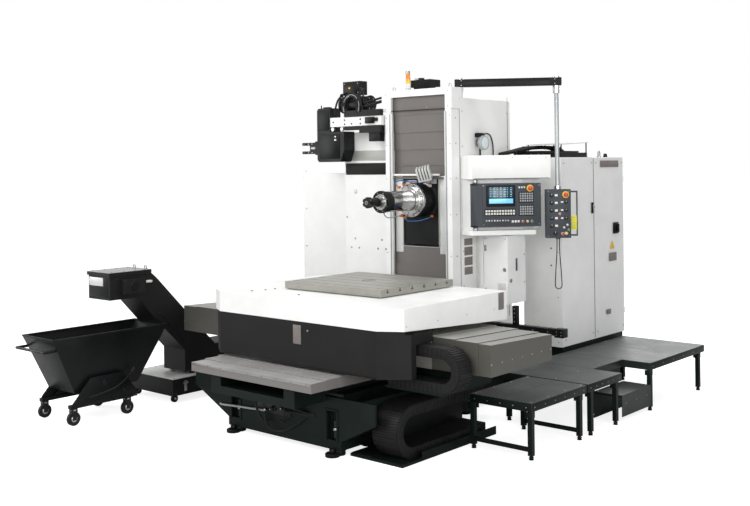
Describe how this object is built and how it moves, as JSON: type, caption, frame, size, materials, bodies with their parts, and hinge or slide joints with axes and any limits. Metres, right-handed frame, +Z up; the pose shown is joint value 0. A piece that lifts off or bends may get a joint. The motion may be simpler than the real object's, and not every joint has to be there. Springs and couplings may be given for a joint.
{
  "type": "horizontal boring mill",
  "caption": "Horizontal boring mill with a turning, cross-travelling table, a column with a sliding spindle head, tool changer, chip conveyor, cart and electrical cabinet.",
  "frame": {"origin": "centre of the sole of the levelling foot under the middle of the bed, on the floor", "axes": "+Z up; the bed runs along Y and the spindle points along -Y; +X is the side of the operator's panel"},
  "size_m": [5.54, 6.555, 4.02],
  "materials": {
    "warm_white_paint": "satin",
    "bed_green_black_paint": "satin",
    "charcoal_paint": "matte",
    "cover_steel": "brushed",
    "table_iron": "machined",
    "bright_steel": "polished",
    "black_steel": "satin",
    "silver_aluminium": "satin",
    "amber_lens": "gloss",
    "black_plastic": "matte",
    "black_rubber": "matte"
  },
  "bodies": {
    "base": {"bed": "bed_green_black_paint", "levelling_feet": "black_steel", "bed_cover_ends": "cover_steel", "column": "warm_white_paint", "column_casing": "warm_white_paint", "column_cap": "warm_white_paint", "column_apron": "cover_steel", "changer_body": "warm_white_paint", "tool_magazine": "warm_white_paint", "changer_beam": "warm_white_paint", "beam_rails": "black_steel", "tool_carriage": "black_steel", "column_top_drive": "black_steel", "beacon": "amber_lens", "side_lamp": "silver_aluminium", "panel_bracket": "warm_white_paint", "service_box": "warm_white_paint", "duct_beam": "black_steel", "cabinet": "warm_white_paint", "cabinet_stand": "black_steel", "cabinet_roof_unit": "black_steel", "front_deck": "bed_green_black_paint", "rear_deck": "bed_green_black_paint", "platform_legs": "bed_green_black_paint", "step": "bed_green_black_paint", "bed_cable_chain": "black_plastic", "cable_tray": "black_steel", "chip_conveyor": "charcoal_paint", "coolant_tank": "black_steel", "cart_hopper": "black_steel", "cart_frame": "black_steel", "cart_casters": "black_rubber"},
    "saddle": {"saddle": "bed_green_black_paint", "saddle_bed_covers": "cover_steel", "saddle_cover_ends": "cover_steel", "saddle_cable_chain": "black_plastic"},
    "table_slide": {"table_slide": "table_iron", "table_guard": "warm_white_paint", "table_skirt": "charcoal_paint"},
    "turntable": {"rotary_table": "table_iron"},
    "bed_cover_outer": {"bed_cover_outer": "cover_steel"},
    "bed_cover_inner": {"bed_cover_inner": "cover_steel"},
    "x_cover_outer": {"x_cover_outer": "cover_steel"},
    "x_cover_inner": {"x_cover_inner": "cover_steel"},
    "head": {"head": "black_steel", "head_sheet": "cover_steel", "head_flange": "bright_steel", "work_lamp": "silver_aluminium"},
    "quill": {"quill": "bright_steel"},
    "spindle": {"spindle": "bright_steel", "cutter": "black_steel"},
    "shutter_upper": {"upper_shutter": "cover_steel"},
    "shutter_lower": {"lower_shutter": "cover_steel"},
    "arm": {"pendant_arm": "warm_white_paint"},
    "pendant": {"pendant": "charcoal_paint", "pendant_cord": "black_rubber"},
    "operator_panel": {"operator_panel": "charcoal_paint"},
    "cabinet_door_front": {"cabinet_door_front": "warm_white_paint"},
    "cabinet_door_rear": {"cabinet_door_rear": "warm_white_paint"},
    "service_door": {"service_door": "warm_white_paint"}
  },
  "joints": [
    {"name": "saddle_slide", "type": "slide", "parent": "base", "child": "saddle", "axis": [0, 1, 0], "range_m": [-0.56, 0.24]},
    {"name": "bed_cover_outer_slide", "type": "slide", "parent": "base", "child": "bed_cover_outer", "axis": [0, 1, 0], "range_m": [-0.18668, 0.08001]},
    {"name": "bed_cover_inner_slide", "type": "slide", "parent": "base", "child": "bed_cover_inner", "axis": [0, 1, 0], "range_m": [-0.37334, 0.16001]},
    {"name": "table_traverse", "type": "slide", "parent": "saddle", "child": "table_slide", "axis": [1, 0, 0], "range_m": [-1.15, 0.678]},
    {"name": "x_cover_outer_slide", "type": "slide", "parent": "saddle", "child": "x_cover_outer", "axis": [1, 0, 0], "range_m": [-0.24611, 0.1451]},
    {"name": "x_cover_inner_slide", "type": "slide", "parent": "saddle", "child": "x_cover_inner", "axis": [1, 0, 0], "range_m": [-0.69806, 0.41156]},
    {"name": "table_turn", "type": "hinge", "parent": "table_slide", "child": "turntable", "pos_m": [0.236, 0.61, 1.6], "axis": [0, 0, 1], "continuous": true},
    {"name": "head_lift", "type": "slide", "parent": "base", "child": "head", "axis": [0, 0, 1], "range_m": [-0.55, 0.35]},
    {"name": "upper_shutter_slide", "type": "slide", "parent": "base", "child": "shutter_upper", "axis": [0, 0, 1], "range_m": [-0.08251, 0.05251]},
    {"name": "lower_shutter_slide", "type": "slide", "parent": "base", "child": "shutter_lower", "axis": [0, 0, 1], "range_m": [-0.22001, 0.14001]},
    {"name": "quill_feed", "type": "slide", "parent": "head", "child": "quill", "axis": [0, -1, 0], "range_m": [-0.35, 0.15]},
    {"name": "spindle_spin", "type": "hinge", "parent": "quill", "child": "spindle", "pos_m": [0, 1.13, 2.443], "axis": [0, 1, 0], "continuous": true},
    {"name": "arm_swing", "type": "hinge", "parent": "base", "child": "arm", "pos_m": [0.45, 2.05, 3.792], "axis": [0, 0, 1], "range_deg": [-70, 0]},
    {"name": "pendant_turn", "type": "hinge", "parent": "arm", "child": "pendant", "pos_m": [1.391, 2.697, 2.56], "axis": [0, 0, 1], "range_deg": [-90, 90]},
    {"name": "panel_swing", "type": "hinge", "parent": "base", "child": "operator_panel", "pos_m": [0.745, 1.925, 2.64], "axis": [0, 0, 1], "range_deg": [-20, 0]},
    {"name": "cabinet_door_front_hinge", "type": "hinge", "parent": "base", "child": "cabinet_door_front", "pos_m": [1.2, 3.1, 2.94], "axis": [0, 0, -1], "range_deg": [0, 90]},
    {"name": "cabinet_door_rear_hinge", "type": "hinge", "parent": "base", "child": "cabinet_door_rear", "pos_m": [1.2, 4.7, 2.94], "axis": [0, 0, 1], "range_deg": [0, 90]},
    {"name": "service_door_hinge", "type": "hinge", "parent": "base", "child": "service_door", "pos_m": [0.66, 2.21, 2.022], "axis": [0, 0, -1], "range_deg": [0, 90]}
  ],
  "couplings": [
    {"joint": "bed_cover_outer_slide", "follows": "saddle_slide", "ratio": 0.33333},
    {"joint": "bed_cover_inner_slide", "follows": "saddle_slide", "ratio": 0.66667},
    {"joint": "x_cover_outer_slide", "follows": "table_traverse", "ratio": 0.214},
    {"joint": "x_cover_inner_slide", "follows": "table_traverse", "ratio": 0.607},
    {"joint": "upper_shutter_slide", "follows": "head_lift", "ratio": 0.15},
    {"joint": "lower_shutter_slide", "follows": "head_lift", "ratio": 0.4}
  ]
}
